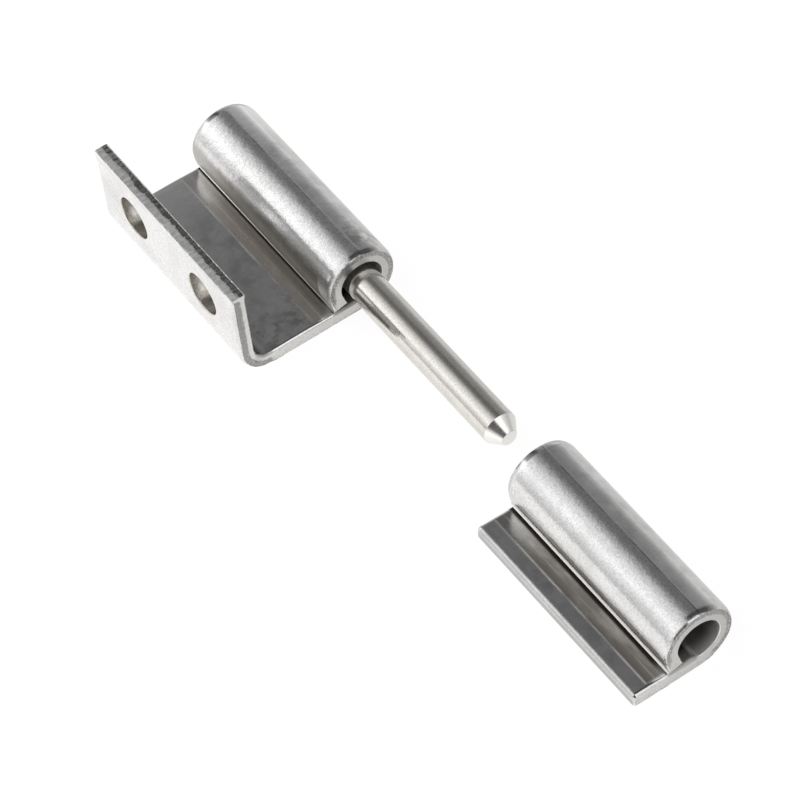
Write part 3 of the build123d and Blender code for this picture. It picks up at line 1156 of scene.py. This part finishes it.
# %% The tent as a world
REAR_TO_MIDDLE = (-0.45, -0.15)
MIDDLE_TO_FRONT = (0.2, 0.4)
REARMOST = (-0.63, -0.57)
rearmost_light = 1.4
world = bpy.data.worlds.new("white_tent")
scene.world = world
world.use_nodes = True
tree = world.node_tree
background = tree.nodes["Background"].inputs
x, y, z = parts_of(add_node(tree, "ShaderNodeTexCoord").outputs["Generated"])
share = math_node("DIVIDE", math_node("MAXIMUM", math_node("ARCTAN2", z, y), 0.0), math.pi)
rear, middle, front = [tent_wall(share, stops) for stops in (REAR, MIDDLE, FRONT)]
light = mixed_colour(ramp(x, *REAR_TO_MIDDLE), rear, middle)
light = mixed_colour(ramp(x, *MIDDLE_TO_FRONT), light, front)
to_camera = add_node(tree, "ShaderNodeLightPath").outputs["Is Camera Ray"]
fill(background["Color"], mixed_colour(to_camera, light, (1, 1, 1)))
more = minus(ramp(x, *REARMOST, rearmost_light, 1.0), 1.0)
fill(background["Strength"], math_node("MULTIPLY_ADD", minus(1.0, to_camera), more, 1.0))
print("tent stops:", len(REAR), len(MIDDLE), len(FRONT))

# %% [markdown]
# ## The table
# The table is a wide white sheet. It glows just enough for the camera and for reflections to see it
# as white, and its own shading still carries the soft shadow under the hinge.

# %% The table
table_size = 3.0
table_drop = 0.00002
seen_glow = 0.9
mirrored_glow = (1.1, 0.64)
mesh = bpy.data.meshes.new("table")
half = table_size / 2
corners = [(-half, -half, 0), (half, -half, 0), (half, half, 0), (-half, half, 0)]
mesh.from_pydata(corners, [], [(0, 1, 2, 3)])
table = put_in_scene("table", mesh)
table.location.z = -table_drop
paper = bpy.data.materials.new("white_paper")
paper.use_nodes = True
tree = paper.node_tree
tree.nodes.remove(tree.nodes["Principled BSDF"])
rays = add_node(tree, "ShaderNodeLightPath").outputs
to_camera = rays["Is Camera Ray"]
seen = math_node("MAXIMUM", to_camera, rays["Is Glossy Ray"])
seen = math_node("MAXIMUM", seen, rays["Is Transmission Ray"])
_, y, _ = parts_of(in_mm(tree))
reflected = ramp(y, -20, 30, *mirrored_glow)
shown = plus(times(to_camera, minus(seen_glow, reflected)), reflected)
white = mixed_colour(to_camera, (1.0, 0.99, 0.975), (1, 1, 1))
glow = add_node(tree, "ShaderNodeEmission", {"Color": white, "Strength": times(seen, shown)})
matt = add_node(tree, "ShaderNodeBsdfDiffuse", {"Color": (0.2, 0.2, 0.2, 1)})
both = add_node(tree, "ShaderNodeAddShader", {0: glow.outputs[0], 1: matt.outputs[0]})
fill(tree.nodes["Material Output"].inputs["Surface"], both.outputs[0])
mesh.materials.append(paper)
table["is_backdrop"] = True
print("table", table_size, "m wide")

# %% [markdown]
# ## Camera
# The photograph looks down steeply from the door leaf's side, from about 0.7 m away through a long
# lens, with the camera turned a little about its own axis. The place it looks at lies on the table.

# %% The camera
azimuth = math.radians(61.64)
elevation = math.radians(51.82)
roll = math.radians(-8.26)
distance = 696.4
look_at = Vector((-5.10, 1.88, 0.0))
focal_px = 4448.0
picture_px = 800
level = Vector((math.cos(azimuth), math.sin(azimuth), 0))
outwards = Vector((math.sin(azimuth), -math.cos(azimuth), 0))
back = outwards * math.cos(elevation) + Vector((0, 0, math.sin(elevation)))
upright = back.cross(level)
right = level * math.cos(roll) + upright * math.sin(roll)
up = upright * math.cos(roll) - level * math.sin(roll)
camera_data = bpy.data.cameras.new("camera")
camera_data.sensor_width = 36
camera_data.lens = focal_px / picture_px * camera_data.sensor_width
camera_data.clip_start = 0.01
camera = put_in_scene("camera", camera_data)
stand = Matrix((right, up, back)).transposed().to_4x4()
stand.translation = (look_at + back * distance) * MM
camera.matrix_world = stand
scene.camera = camera
scene.view_settings.view_transform = "Standard"
print("lens", round(camera_data.lens, 1), "mm")

# %% Measure and print the visual box
visual_box = [list(corner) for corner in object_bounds()]
low, high = [[round(v / MM, 2) for v in corner] for corner in visual_box]
print("visual from", low, "to", high)
